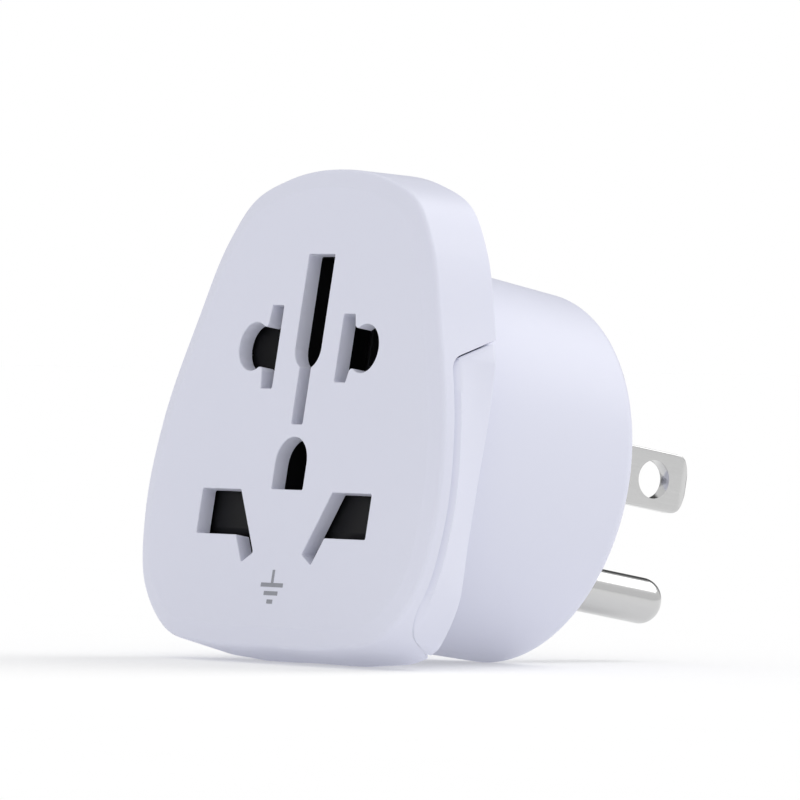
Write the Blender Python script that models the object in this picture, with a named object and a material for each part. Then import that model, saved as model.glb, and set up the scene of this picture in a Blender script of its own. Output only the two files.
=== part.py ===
"""Universal travel adapter: a socket face for many plug types on a plug with two flat blades and an earth pin.

Everything below is in millimetres in the socket frame: X to the right seen from the front, Y straight into the
adapter from the socket face, Z up from the line through the two large rectangular holes. One empty carries the
whole adapter to the part's own frame, whose origin is the centre of the rear face that meets a wall outlet.
"""
import math

import bmesh
import bpy
from mathutils import Vector

MM = 0.001
LEFT = -1
RIGHT = 1
SIDES = (LEFT, RIGHT)
GAP = 0.3                       # clearance between pieces that rest on each other

# Overall
REAR_FACE = 29.0                # depth of the face that meets the outlet
AXIS_Z = 8.4                    # height of the round plug body's axis

# Outline of the socket face, right half, bottom to top (x, z)
OUTLINE = ((0.0, -13.6), (10.8, -13.5), (18.4, -12.3), (23.2, -7.8), (25.0, -0.4), (24.3, 8.9),
           (20.8, 19.8), (17.3, 28.1), (14.2, 32.0), (8.4, 34.4), (0.0, 35.4))
OUTLINE_STEPS = 3
FLARE = 0.7                     # how far the side walls spread outwards at the cover's rear edge

# Front cover
FACE_THICK = 1.7
COVER_WALL = 1.5
FACE_BORDER = 1.9               # width of the sloping border round the flat face
BORDER_DROP = 0.55              # how far back the border meets the side wall
BORDER_ROUND = 0.4
FLANGE_REAR = 7.3               # depth of the cover's rear edge and of the flange's rear surface

# Grip windows at both sides of the cover: height and depth of the front edge's corners
WINDOW_TOP = 19.1
WINDOW_TOP_KNEE = 16.35
WINDOW_BOTTOM_KNEE = -10.8
WINDOW_BOTTOM = -12.5
WINDOW_FRONT = 1.75
WING_INSET = 0.35               # grip surface below the cover's surface
WING_END_DEPTH = 6.4            # the wing's thin ends stop at this depth
GRIP_RIDGE = 2.8                # depth where the finger hollow starts
WINDOW_ROUNDS = (1.3, 3.2)      # reach of the rounds at its upper and lower corner
GRIP_HOLLOW = 3.3               # how far the hollow goes in at the rear edge
GRIP_TOP = 16.8
GRIP_BOTTOM = -11.6
GRIP_SKEW = 1.15                # moves the deepest place down
GRIP_FULLNESS = 0.85
WING_WALL = 1.15

# Rear housing
PLATE_INSET = COVER_WALL + GAP + 0.1
PLATE_FRONT = 5.9
BODY_R = 20.0                   # radius where the body leaves the flange
BODY_REAR_R = 19.26
BODY_FILLET = 1.4
BORE_R = 18.3
BORE_REAR_R = 17.6
END_WALL = 26.8                 # depth of the end wall's inner surface

# Sockets (centre x, centre z, sizes)
EARTH_SLOT_HALF = 2.25
EARTH_SLOT_TOP = 26.6
EARTH_SLOT_BOTTOM = 17.0
EARTH_NARROW_HALF = 0.98
EARTH_NARROW_BOTTOM = 9.1
UPPER_LINE = 17.0               # height of the flat-blade slots and the round holes
BLADE_SLOT_X = 6.35
BLADE_SLOT_HALF = 1.1
NEUTRAL_SLOT_HEIGHT = 8.6
LIVE_SLOT_HEIGHT = 7.0
ROUND_HOLE_X = 9.5
ROUND_HOLE_R = 2.5
D_HOLE_HALF = 2.7
D_HOLE_ARCH = 5.1
D_HOLE_BOTTOM = 2.4
LARGE_HOLE_X = (7.66, 14.6)
LARGE_HOLE_Z = (-2.4, 2.25)
SLANT_CENTRE = (6.86, -1.65)
SLANT_LENGTH = 7.0
SLANT_WIDTH = 2.1
SLANT_ANGLE = math.radians(30)

# Contact carrier
CARRIER_FRONT = 4.6
CARRIER_REAR = 5.6
CARRIER_INSET = 3.0
SHROUD_OUTER = 3.6
SHROUD_WALL = 0.6
SHROUD_Z = (1.9, 27.2)
SHROUD_BAR = (8.1, 8.7)
HOLE_MARGIN = 0.3

# Shutters
SHUTTER_FRONT = 2.05
SHUTTER_REAR = 4.3
SHUTTER_TOE = 3.9               # depth of a ramp's thin edge
UPPER_SHUTTER_X = (5.0, 8.0, 12.15)
UPPER_SHUTTER_WIDE = 4.7        # half height over the blade slots
UPPER_SHUTTER_NARROW = 2.75     # half height behind the round holes
LOWER_PAD_X = (3.9, 14.8)
LOWER_PAD_Z = (-5.8, -1.5, 2.8)
UPPER_STOP_X = (18.4, 19.1)
LOWER_STOP_Z = (11.3, 11.9)
STOP_HALF = 0.8
GROOVE_HALF = 1.1
GROOVE_FLOOR = 3.0
UPPER_GROOVE_START = 9.6        # far enough out to leave a wall behind the sloping front
LOWER_GROOVE_START = -1.2

# Springs
SPRING_R = 0.4
SPRING_WIRE = 0.11
SPRING_DEPTH = 3.75
SPRING_TURNS = 5
LOWER_SPRING_X = 13.5

# Contacts
SHEET = 0.6
CONTACT_X = (5.2, 13.0)
CONTACT_STRIP = (20.5, 21.3)
CONTACT_LIP = 9.0               # depth of the flared tips
CONTACT_NECK = 10.8             # depth where the flare starts
CONTACT_OPENING = 1.9           # half opening of a jaw
CONTACT_FLARE = 1.4
EARTH_STRIP = (23.2, 24.0)
EARTH_STRIP_HALF = 3.0
EARTH_STRIP_Z = (-4.0, 24.8)
EARTH_JAW_OPENING = 1.7
EARTH_JAW_Z = (9.5, 24.4)
EARTH_PIN_JAW_OPENING = 2.1
EARTH_PIN_JAW_Z = (2.7, 7.5)

# Plug
BLADE_X = 6.35
BLADE_Z = 10.58
BLADE_THICK = 1.5
BLADE_HEIGHT = 6.1
BLADE_TIP = 45.3
BLADE_FOOT = (21.6, 22.4)
BLADE_FOOT_REACH = 10.8
BLADE_HOLE_R = 1.98
BLADE_HOLE_FROM_FACE = 11.7
BLADE_TIP_BEVEL = 0.5
BLADE_TIP_ROUND = (1.8, 2.55)    # of a tip corner: along the blade, and down from its edge
EARTH_PIN_Z = -1.31
EARTH_PIN_R = 2.4
EARTH_PIN_TIP = 48.8
EARTH_PIN_COLLAR_R = 3.4
EARTH_PIN_COLLAR = (24.9, 26.5)
EARTH_PIN_STEM_R = 1.5
EARTH_PIN_STEM_END = 21.9
WASHER_R = 2.6
WASHER = (22.2, 22.9)
RIVET_X = 9.2
RIVET_R = 0.9
RIVET_HEAD_R = 1.6
RIVET_HEAD = 0.6

# Blade retainer
RETAINER = (24.6, 26.5)
RETAINER_HALF = 13.6
RETAINER_Z = (-5.9, 16.6)
RETAINER_CORNER = 7.5
RETAINER_SCREW = (11.2, 4.5)

# Screws
SCREW_PLACES = ((11.0, 29.0), (16.8, -7.3))
SCREW_SHANK_R = 0.9
SCREW_HEAD_R = 1.8
SCREW_HEAD = 1.05
SCREW_HOLE_R = 1.2
BOSS_R = 1.85
BOSS_REAR = 4.3
PAD_R = 2.7
PAD_FRONT = 4.6
COUNTERBORE_R = 2.1
COUNTERBORE_FLOOR = 5.8
SCREW_TIP = 2.3


# ---------------------------------------------------------------- materials

def material(name, colour, roughness, metallic=0.0):
    made = bpy.data.materials.new(name)
    made.use_nodes = True
    shader = made.node_tree.nodes["Principled BSDF"]
    shader.inputs["Base Color"].default_value = (*colour, 1.0)
    shader.inputs["Roughness"].default_value = roughness
    shader.inputs["Metallic"].default_value = metallic
    made.diffuse_color = (*colour, 1.0)
    return made


# ---------------------------------------------------------------- scene

def clear_scene():
    for old in list(bpy.data.objects):
        bpy.data.objects.remove(old, do_unlink=True)


def make_root():
    """The empty that carries the socket frame to the part's frame."""
    root = bpy.data.objects.new("adapter", None)
    root.location = (0.0, -REAR_FACE * MM, -AXIS_Z * MM)
    bpy.context.scene.collection.objects.link(root)
    return root


def add(name, mesh, surface, origin=(0.0, 0.0, 0.0)):
    """A piece from a bmesh in millimetres, with its origin at the given point of the socket frame."""
    bmesh.ops.recalc_face_normals(mesh, faces=mesh.faces)
    shift = Vector(origin)
    for vertex in mesh.verts:
        vertex.co = (vertex.co - shift) * MM
    data = bpy.data.meshes.new(name)
    mesh.to_mesh(data)
    mesh.free()
    if surface:
        data.materials.append(surface)
    made = bpy.data.objects.new(name, data)
    made.parent = bpy.data.objects["adapter"]
    made.location = shift * MM
    bpy.context.scene.collection.objects.link(made)
    return made


def combine(target, tool, operation):
    """Unites the target with a hidden tool body, or cuts it with one."""
    tool.hide_render = True
    tool.display_type = "WIRE"
    modifier = target.modifiers.new(tool.name, "BOOLEAN")
    modifier.operation = operation
    modifier.solver = "EXACT"
    modifier.object = tool


def unite(target, mesh, name):
    combine(target, add(name, mesh, None), "UNION")


def cut(target, mesh, name):
    combine(target, add(name, mesh, None), "DIFFERENCE")


# ---------------------------------------------------------------- shapes

def loft(rings, mesh=None):
    """A closed body through rings of points, each ring with as many points as the next."""
    mesh = mesh or bmesh.new()
    rows = [[mesh.verts.new(point) for point in ring] for ring in rings]
    for low, high in zip(rows, rows[1:]):
        for i in range(len(low)):
            j = (i + 1) % len(low)
            mesh.faces.new((low[i], low[j], high[j], high[i]))
    mesh.faces.new(rows[0])
    mesh.faces.new(rows[-1])
    return mesh


PLACE = {
    "X": lambda at, u, v: (at, u, v),
    "Y": lambda at, u, v: (u, at, v),
    "Z": lambda at, u, v: (u, v, at),
}


def prism(outline, axis, low, high, mesh=None):
    """An outline drawn in the other two axes, in their order, and stretched along this one."""
    rings = [[PLACE[axis](at, u, v) for u, v in outline] for at in (low, high)]
    return loft(rings, mesh)


def box(x, y, z, mesh=None):
    return prism(((x[0], z[0]), (x[1], z[0]), (x[1], z[1]), (x[0], z[1])), "Y", y[0], y[1], mesh)


def arc(centre, radius, start, end, steps):
    """Points on an arc, angles in degrees, both ends included."""
    points = []
    for i in range(steps + 1):
        angle = math.radians(start + (end - start) * i / steps)
        points.append((centre[0] + radius * math.cos(angle), centre[1] + radius * math.sin(angle)))
    return points


def circle(centre, radius, sides):
    return arc(centre, radius, 0, 360 - 360 / sides, sides - 1)


def turned(profile, centre, sides, mesh=None):
    """A body turned about the Y direction from a profile of (radius, depth)."""
    rings = [[(x, depth, z) for x, z in circle(centre, radius, sides)] for radius, depth in profile]
    return loft(rings, mesh)


def rounded_box(x, z, radius, steps=4):
    points = []
    for cx, cz, start in ((x[1] - radius, z[1] - radius, 0), (x[0] + radius, z[1] - radius, 90),
                          (x[0] + radius, z[0] + radius, 180), (x[1] - radius, z[0] + radius, 270)):
        points += arc((cx, cz), radius, start, start + 90, steps)
    return points


def rounded_corner(before, corner, after, reach, steps):
    """Points of the round that replaces one corner of a path, reaching the same distance along both arms."""
    here = Vector(corner)
    start = here + (Vector(before) - here).normalized() * reach
    end = here + (Vector(after) - here).normalized() * reach
    points = []
    for step in range(steps + 1):
        t = step / steps
        points.append(tuple((1 - t)**2 * start + 2 * t * (1 - t) * here + t**2 * end))
    return points


# ---------------------------------------------------------------- the face's outline

def outline_knots():
    left_half = [(-x, z) for x, z in reversed(OUTLINE[1:-1])]
    return [Vector(point) for point in (*OUTLINE, *left_half)]


def slope_at(knots, i):
    """Direction of the smooth curve at a knot, for unit speed."""
    before = knots[i] - knots[i - 1]
    after = knots[(i + 1) % len(knots)] - knots[i]
    near, far = before.length, after.length
    return (before / near * far + after / far * near) / (near + far)


def curve_points(steps):
    """Points and directions round the outline, a few steps from knot to knot."""
    knots = outline_knots()
    points = []
    for i, start in enumerate(knots):
        j = (i + 1) % len(knots)
        end = knots[j]
        span = (end - start).length
        leave = slope_at(knots, i) * span
        arrive = slope_at(knots, j) * span
        for step in range(steps):
            t = step / steps
            place = ((2 * t**3 - 3 * t**2 + 1) * start + (t**3 - 2 * t**2 + t) * leave
                     + (3 * t**2 - 2 * t**3) * end + (t**3 - t**2) * arrive)
            course = ((6 * t**2 - 6 * t) * start + (3 * t**2 - 4 * t + 1) * leave
                      + (6 * t - 6 * t**2) * end + (3 * t**2 - 2 * t) * arrive)
            points.append((place, course.normalized()))
    return points


def spread(depth):
    """How far the side walls stand outside the face's outline at a depth."""
    return FLARE * depth / FLANGE_REAR


def outline(inset, depth):
    """The adapter's outline at a depth, moved inwards by a distance, or by a function of the height."""
    points = []
    for place, course in curve_points(OUTLINE_STEPS):
        distance = (inset(place.y) if callable(inset) else inset) - spread(depth)
        points.append((place.x - course.y * distance, place.y + course.x * distance))
    return points


def side_point(side, z, inset, depth):
    """The outline's point at a height and depth on one side, moved inwards."""
    points = curve_points(8)
    rising = zip(points, points[1:])
    (low, low_course), (high, high_course) = next(
        pair for pair in rising if pair[0][0].x > 0 and pair[0][0].y <= z <= pair[1][0].y)
    t = (z - low.y) / (high.y - low.y)
    place = low.lerp(high, t)
    course = low_course.lerp(high_course, t)
    distance = inset - spread(depth)
    return side * (place.x - course.y * distance), place.y + course.x * distance


def face_body(inset, low, high):
    rings = [[(x, depth, z) for x, z in outline(inset, depth)] for depth in (low, high)]
    return loft(rings)


# ---------------------------------------------------------------- grip windows and wings

def grip_hollow(z):
    """How far the finger hollow goes in at the flange's rear edge."""
    t = (GRIP_TOP - z) / (GRIP_TOP - GRIP_BOTTOM)
    return GRIP_HOLLOW * math.sin(math.pi * t**GRIP_SKEW)**GRIP_FULLNESS if 0 < t < 1 else 0.0


def wing_inner(z):
    return max(2.3, WING_INSET + grip_hollow(z) + WING_WALL)


def window_edge(gap, end_depth):
    """Height and depth along the window's front edge, top to bottom, moved into the window by a gap."""
    corners = []
    for end, knee in ((WINDOW_TOP, WINDOW_TOP_KNEE), (WINDOW_BOTTOM, WINDOW_BOTTOM_KNEE)):
        slope = (end - knee) / (FLANGE_REAR - WINDOW_FRONT)
        lean = math.copysign(math.hypot(1, slope), slope)
        last = end - gap * lean - slope * (FLANGE_REAR - end_depth)
        corners.append(((last, end_depth), (knee - gap * (lean - slope), WINDOW_FRONT + gap)))
    (top, top_knee), (bottom, bottom_knee) = corners
    upper = rounded_corner(top, top_knee, bottom_knee, WINDOW_ROUNDS[0], 2)
    lower = rounded_corner(top_knee, bottom_knee, bottom, WINDOW_ROUNDS[1], 3)
    rows = 10
    middle = [tuple(Vector(upper[-1]).lerp(Vector(lower[0]), i / rows)) for i in range(1, rows)]
    return [top, *upper, *middle, *lower, bottom]


def window_cutter(side):
    rings = []
    for z, front in window_edge(0.0, FLANGE_REAR):
        rear = FLANGE_REAR + 1.0
        section = ((-2.0, front), (PLATE_INSET, front), (PLATE_INSET, rear), (-2.0, rear))
        ring = []
        for inset, depth in section:
            x, height = side_point(side, z, inset, depth)
            ring.append((x, depth, height))
        rings.append(ring)
    return loft(rings)


def wing(side):
    """The housing's side wall that fills the window, hollowed behind its ridge for a finger and thumb."""
    rings = []
    for z, front in window_edge(GAP, WING_END_DEPTH):
        ridge = max(front + 0.2, GRIP_RIDGE)
        hollow = WING_INSET + grip_hollow(z)
        inner = wing_inner(z)
        section = ((WING_INSET, front), (WING_INSET, ridge), (hollow, FLANGE_REAR),
                   (inner, FLANGE_REAR), (inner, front))
        ring = []
        for inset, depth in section:
            x, height = side_point(side, z, inset, depth)
            ring.append((x, depth, height))
        rings.append(ring)
    return loft(rings)


# ---------------------------------------------------------------- socket openings

def earth_slot(margin):
    """A wide slot that tapers round its lower end into a narrow one."""
    wide = EARTH_SLOT_HALF + margin
    narrow = EARTH_NARROW_HALF + margin
    drop = math.degrees(math.acos(narrow / wide))
    top = EARTH_SLOT_TOP + margin
    bottom = EARTH_NARROW_BOTTOM - margin
    centre = (0.0, EARTH_SLOT_BOTTOM)
    return [(wide, top), (-wide, top), *arc(centre, wide, 180, 180 + drop, 4), (-narrow, bottom),
            (narrow, bottom), *arc(centre, wide, 360 - drop, 360, 4)]


def d_hole(margin):
    half = D_HOLE_HALF + margin
    bottom = D_HOLE_BOTTOM - margin
    return [(-half, bottom), (half, bottom), *arc((0.0, D_HOLE_ARCH), half, 0, 180, 12)]


def blade_slot(side, margin):
    half = BLADE_SLOT_HALF + margin
    height = NEUTRAL_SLOT_HEIGHT if side == LEFT else LIVE_SLOT_HEIGHT
    x = side * BLADE_SLOT_X
    reach = height / 2 + margin
    return rounded_box((x - half, x + half), (UPPER_LINE - reach, UPPER_LINE + reach), 0.25, 1)


def slant_slot(side, margin):
    """The flat slot leaning 30 degrees, as a rectangle turned about its centre."""
    lean = side * SLANT_ANGLE
    corners = []
    for across, along in ((-1, -1), (1, -1), (1, 1), (-1, 1)):
        u = across * (SLANT_WIDTH / 2 + margin)
        v = along * (SLANT_LENGTH / 2 + margin)
        x = side * SLANT_CENTRE[0] + u * math.cos(lean) + v * math.sin(lean)
        z = SLANT_CENTRE[1] - u * math.sin(lean) + v * math.cos(lean)
        corners.append((x, z))
    return corners


def cut_sockets(target, margin, low, high):
    """All socket openings through a plate. The two bodies keep overlapping holes in separate cutters."""
    first = prism(earth_slot(margin), "Y", low, high)
    prism(d_hole(margin), "Y", low, high, first)
    second = bmesh.new()
    for side in SIDES:
        prism(blade_slot(side, margin), "Y", low, high, first)
        x = sorted(side * edge for edge in LARGE_HOLE_X)
        z = LARGE_HOLE_Z
        prism(rounded_box((x[0] - margin, x[1] + margin), (z[0] - margin, z[1] + margin), 0.35, 2),
              "Y", low, high, first)
        prism(circle((side * ROUND_HOLE_X, UPPER_LINE), ROUND_HOLE_R + margin, 24), "Y", low, high, second)
        prism(slant_slot(side, margin), "Y", low, high, second)
    cut(target, first, target.name + "_socket_cutter")
    cut(target, second, target.name + "_round_and_slant_cutter")


# ---------------------------------------------------------------- screws

def screw_places():
    return [(side * x, z) for x, z in SCREW_PLACES for side in SIDES]


def screw(centre, tip, seat, head_end, head_r):
    profile = ((0.3, tip), (SCREW_SHANK_R, tip + 0.6), (SCREW_SHANK_R, seat), (head_r, seat),
               (head_r, head_end - 0.25), (head_r - 0.25, head_end))
    return turned(profile, centre, 12)


# ---------------------------------------------------------------- pieces

def make_front_cover(surface):
    """Face, sloping border and side walls in one shell, with a boss for each housing screw."""
    profile = [(0.0, FLANGE_REAR)]
    profile += rounded_corner((0.0, 3.0), (0.0, BORDER_DROP), (FACE_BORDER, 0.0), BORDER_ROUND, 3)
    profile.append((FACE_BORDER, 0.0))
    rings = [[(x, depth, z) for x, z in outline(inset, depth)] for inset, depth in profile]
    cover = add("front_cover", loft(rings), surface)
    cut(cover, face_body(COVER_WALL, FACE_THICK, FLANGE_REAR + 1), "cover_hollow")
    bosses = bmesh.new()
    holes = bmesh.new()
    for centre in screw_places():
        turned(((BOSS_R, FACE_THICK - 0.5), (BOSS_R, BOSS_REAR)), centre, 16, bosses)
        turned(((SCREW_HOLE_R, SCREW_TIP - GAP), (SCREW_HOLE_R, BOSS_REAR + 1)), centre, 16, holes)
    unite(cover, bosses, "cover_bosses")
    cut(cover, holes, "cover_boss_holes")
    for side, name in ((LEFT, "left"), (RIGHT, "right")):
        cut(cover, window_cutter(side), "cover_window_" + name)
    cut_sockets(cover, 0.0, -1.0, FACE_THICK + 1)
    return cover


def plate_inset(z):
    return max(PLATE_INSET, WING_INSET + grip_hollow(z) + 0.4)


def make_rear_housing(surface):
    """Flange plate, grip wings and the round plug body with its end wall, one moulding."""
    housing = add("rear_housing", face_body(plate_inset, PLATE_FRONT, FLANGE_REAR), surface)
    for side, name in ((LEFT, "left"), (RIGHT, "right")):
        unite(housing, wing(side), "wing_" + name)
    axis = (0.0, AXIS_Z)
    profile = [(BODY_R, FLANGE_REAR - 0.9)]
    for i in range(4):
        turn = math.radians(90) * i / 3
        profile.append((BODY_REAR_R - BODY_FILLET * (1 - math.cos(turn)),
                        REAR_FACE - BODY_FILLET * (1 - math.sin(turn))))
    unite(housing, turned(profile, axis, 64), "plug_body")
    pads = bmesh.new()
    bores = bmesh.new()
    holes = bmesh.new()
    for centre in screw_places():
        turned(((PAD_R, PAD_FRONT), (PAD_R, PLATE_FRONT + 0.6)), centre, 16, pads)
        turned(((COUNTERBORE_R, COUNTERBORE_FLOOR), (COUNTERBORE_R, FLANGE_REAR + 1)), centre, 16, bores)
        turned(((SCREW_HOLE_R, PAD_FRONT - 1), (SCREW_HOLE_R, FLANGE_REAR + 1)), centre, 16, holes)
    unite(housing, pads, "screw_pads")
    cut(housing, turned(((BORE_R, PLATE_FRONT - 1), (BORE_REAR_R, END_WALL)), axis, 48), "housing_bore")
    cut(housing, bores, "counterbores")
    cut(housing, holes, "screw_holes")
    pins = turned(((EARTH_PIN_R + GAP, END_WALL - 1), (EARTH_PIN_R + GAP, REAR_FACE + 1)),
                  (0.0, EARTH_PIN_Z), 24)
    for side in SIDES:
        half = BLADE_THICK / 2 + GAP
        x = side * BLADE_X
        box((x - half, x + half), (END_WALL - 1, REAR_FACE + 1),
            (BLADE_Z - BLADE_HEIGHT / 2 - GAP, BLADE_Z + BLADE_HEIGHT / 2 + GAP), pins)
        turned(((SCREW_HOLE_R, END_WALL - 1), (SCREW_HOLE_R, REAR_FACE - 0.6)),
               (side * RETAINER_SCREW[0], RETAINER_SCREW[1]), 12, pins)
    cut(housing, pins, "pin_holes")
    return housing


def make_contact_carrier(surface):
    """Black insulating plate behind the shutters, with the earth shroud and the springs' stops."""
    carrier = add("contact_carrier", face_body(lambda z: max(CARRIER_INSET, wing_inner(z) + 0.35),
                                               CARRIER_FRONT, CARRIER_REAR), surface)
    tube = box((-SHROUD_OUTER, SHROUD_OUTER), (SHUTTER_FRONT, CARRIER_FRONT + 0.4), SHROUD_Z)
    for side in SIDES:
        box(sorted(side * x for x in UPPER_STOP_X), (SPRING_DEPTH - 0.5, CARRIER_FRONT + 0.4),
            (UPPER_LINE - STOP_HALF, UPPER_LINE + STOP_HALF), tube)
        x = side * LOWER_SPRING_X
        box((x - STOP_HALF, x + STOP_HALF), (SPRING_DEPTH - 0.5, CARRIER_FRONT + 0.4), LOWER_STOP_Z, tube)
    unite(carrier, tube, "shroud_and_stops")
    inner = SHROUD_OUTER - SHROUD_WALL
    well = (SHUTTER_FRONT - 1, CARRIER_REAR + 1)
    wells = box((-inner, inner), well, (SHROUD_Z[0] + SHROUD_WALL, SHROUD_BAR[0]))
    box((-inner, inner), well, (SHROUD_BAR[1], SHROUD_Z[1] - SHROUD_WALL), wells)
    cut(carrier, wells, "carrier_earth_wells")
    holes = bmesh.new()
    for side in SIDES:
        reach = ROUND_HOLE_X + ROUND_HOLE_R + HOLE_MARGIN
        box(sorted((side * (BLADE_SLOT_X - BLADE_SLOT_HALF - HOLE_MARGIN), side * reach)),
            (CARRIER_FRONT - 1, CARRIER_REAR + 1), (UPPER_LINE - 4.6, UPPER_LINE + 4.6), holes)
        box(sorted((side * 4.4, side * (LARGE_HOLE_X[1] + HOLE_MARGIN))),
            (CARRIER_FRONT - 1, CARRIER_REAR + 1), (-5.2, LARGE_HOLE_Z[1] + HOLE_MARGIN), holes)
    cut(carrier, holes, "carrier_holes")
    notches = bmesh.new()
    for centre in screw_places():
        turned(((PAD_R + GAP, CARRIER_FRONT - 1), (PAD_R + GAP, CARRIER_REAR + 1)), centre, 16, notches)
    cut(carrier, notches, "carrier_notches")
    return carrier


def make_upper_shutter(side, name, surface):
    """Slides outwards when a pair of pins presses its ramp."""
    inner, step, outer = (side * x for x in UPPER_SHUTTER_X)
    ramp = ((inner, SHUTTER_REAR), (inner, SHUTTER_TOE), (step, SHUTTER_FRONT), (step, SHUTTER_REAR))
    wide = (UPPER_LINE - UPPER_SHUTTER_WIDE, UPPER_LINE + UPPER_SHUTTER_WIDE)
    shutter = add(name, prism(ramp, "Z", *wide), surface, (side * 8.0, SHUTTER_REAR, UPPER_LINE))
    pad = box(sorted((step - side * 1.0, outer)), (SHUTTER_FRONT, SHUTTER_REAR),
              (UPPER_LINE - UPPER_SHUTTER_NARROW, UPPER_LINE + UPPER_SHUTTER_NARROW))
    for vertex in pad.verts:
        if abs(vertex.co.x - (step - side * 1.0)) < 1e-4 and vertex.co.y < SHUTTER_REAR - 1:
            vertex.co.y = SHUTTER_TOE - 0.6
    unite(shutter, pad, name + "_pad")
    cut(shutter, box(sorted((side * UPPER_GROOVE_START, outer + side)), (GROOVE_FLOOR, SHUTTER_REAR + 1),
                     (UPPER_LINE - GROOVE_HALF, UPPER_LINE + GROOVE_HALF)), name + "_groove")
    return shutter


def make_lower_shutter(side, name, surface):
    """Covers a large hole and a slanted slot, and slides up when a pin presses its ramp."""
    toe, top_of_ramp, top = LOWER_PAD_Z
    section = ((SHUTTER_REAR, toe), (SHUTTER_TOE, toe), (SHUTTER_FRONT, top_of_ramp),
               (SHUTTER_FRONT, top), (SHUTTER_REAR, top))
    pad = prism(section, "X", *sorted(side * x for x in LOWER_PAD_X))
    shutter = add(name, pad, surface, (side * sum(LOWER_PAD_X) / 2, SHUTTER_REAR, 0.0))
    x = side * LOWER_SPRING_X
    cut(shutter, box((x - GROOVE_HALF, x + GROOVE_HALF), (GROOVE_FLOOR, SHUTTER_REAR + 1),
                     (LOWER_GROOVE_START, top + 1)), name + "_groove")
    return shutter


def make_spring(name, start, direction, length, surface):
    """A compression spring of round wire between two points."""
    along = Vector(direction)
    across = Vector((0.0, 1.0, 0.0))
    third = along.cross(across)
    sides = 5
    steps = SPRING_TURNS * 10
    travel = length - 2 * SPRING_WIRE
    rings = []
    for i in range(steps + 1):
        turn = 2 * math.pi * SPRING_TURNS * i / steps
        spoke = across * math.cos(turn) + third * math.sin(turn)
        centre = Vector(start) + along * (SPRING_WIRE + travel * i / steps) + spoke * SPRING_R
        ring = []
        for j in range(sides):
            angle = 2 * math.pi * j / sides
            ring.append(centre + (spoke * math.cos(angle) + along * math.sin(angle)) * SPRING_WIRE)
        rings.append(ring)
    return add(name, loft(rings), surface, start)


def jaw_comb(leaves, strip, ends):
    """Section of a pressed contact: a strip with leaves, each flared at its tip, as (depth, across)."""
    points = [(strip[1], ends[0]), (strip[0], ends[0])]
    for at, flare in leaves:
        low, high = at - SHEET / 2, at + SHEET / 2
        points += [(strip[0], low), (CONTACT_NECK, low), (CONTACT_LIP, low + flare),
                   (CONTACT_LIP, high + flare), (CONTACT_NECK, high), (strip[0], high)]
    return points + [(strip[0], ends[1]), (strip[1], ends[1])]


def jaw(centre, opening):
    """The two leaves of a jaw, as place and flare."""
    offset = opening + SHEET / 2
    return [(centre - offset, -CONTACT_FLARE), (centre + offset, CONTACT_FLARE)]


def make_line_contact(side, name, surface):
    """Two jaws on one strip: the upper takes flat blades and round pins, the lower large and slanted pins."""
    leaves = jaw(0.0, CONTACT_OPENING) + jaw(UPPER_LINE, CONTACT_OPENING)
    section = jaw_comb(leaves, CONTACT_STRIP, (-3.4, UPPER_LINE + 3.4))
    contact = add(name, prism(section, "X", *sorted(side * x for x in CONTACT_X)), surface)
    hole = turned(((RIVET_R + GAP, CONTACT_STRIP[0] - 1), (RIVET_R + GAP, CONTACT_STRIP[1] + 1)),
                  (side * RIVET_X, BLADE_Z), 12)
    cut(contact, hole, name + "_rivet_hole")
    return contact


def make_earth_contact(surface):
    """A strip with a tall jaw behind the earth slot and a short one behind the round earth hole."""
    contact = add("earth_contact", box((-EARTH_STRIP_HALF, EARTH_STRIP_HALF), EARTH_STRIP, EARTH_STRIP_Z),
                  surface)
    for name, opening, z in (("earth_jaw_upper", EARTH_JAW_OPENING, EARTH_JAW_Z),
                             ("earth_jaw_lower", EARTH_PIN_JAW_OPENING, EARTH_PIN_JAW_Z)):
        strip = (EARTH_STRIP[0] - 0.3, EARTH_STRIP[1] - 0.2)
        ends = (-opening - SHEET, opening + SHEET)
        section = [(across, depth) for depth, across in jaw_comb(jaw(0.0, opening), strip, ends)[1:-1]]
        section = [(ends[0], strip[1]), *section[1:-1], (ends[1], strip[1])]
        unite(contact, prism(section, "Z", *z), name)
    radius = EARTH_PIN_STEM_R + GAP
    hole = turned(((radius, EARTH_STRIP[0] - 1), (radius, EARTH_STRIP[1] + 1)),
                  (0.0, EARTH_PIN_Z), 16)
    cut(contact, hole, "earth_contact_hole")
    return contact


def blade_section(bevel, drop):
    """Rounded rectangle of a blade's cross-section, thinner by a bevel and lower by a drop."""
    half_x = BLADE_THICK / 2 - bevel
    half_z = BLADE_HEIGHT / 2 - drop
    return rounded_box((-half_x, half_x), (-half_z, half_z), 0.3 * (1 - bevel), 2)


def blade_rings():
    """Depth and cross-section from the foot to the tip, which has round corners and coined sides."""
    rings = [(BLADE_FOOT[0] + 0.1, blade_section(0.0, 0.0))]
    bevel_start = BLADE_TIP - 2 * BLADE_TIP_BEVEL
    for i in range(6):
        turn = math.radians(90) * i / 5
        depth = BLADE_TIP - BLADE_TIP_ROUND[0] * (1 - math.sin(turn))
        bevel = max(0.0, (depth - bevel_start) / 2)
        rings.append((depth, blade_section(bevel, BLADE_TIP_ROUND[1] * (1 - math.cos(turn)))))
    return rings


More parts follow.
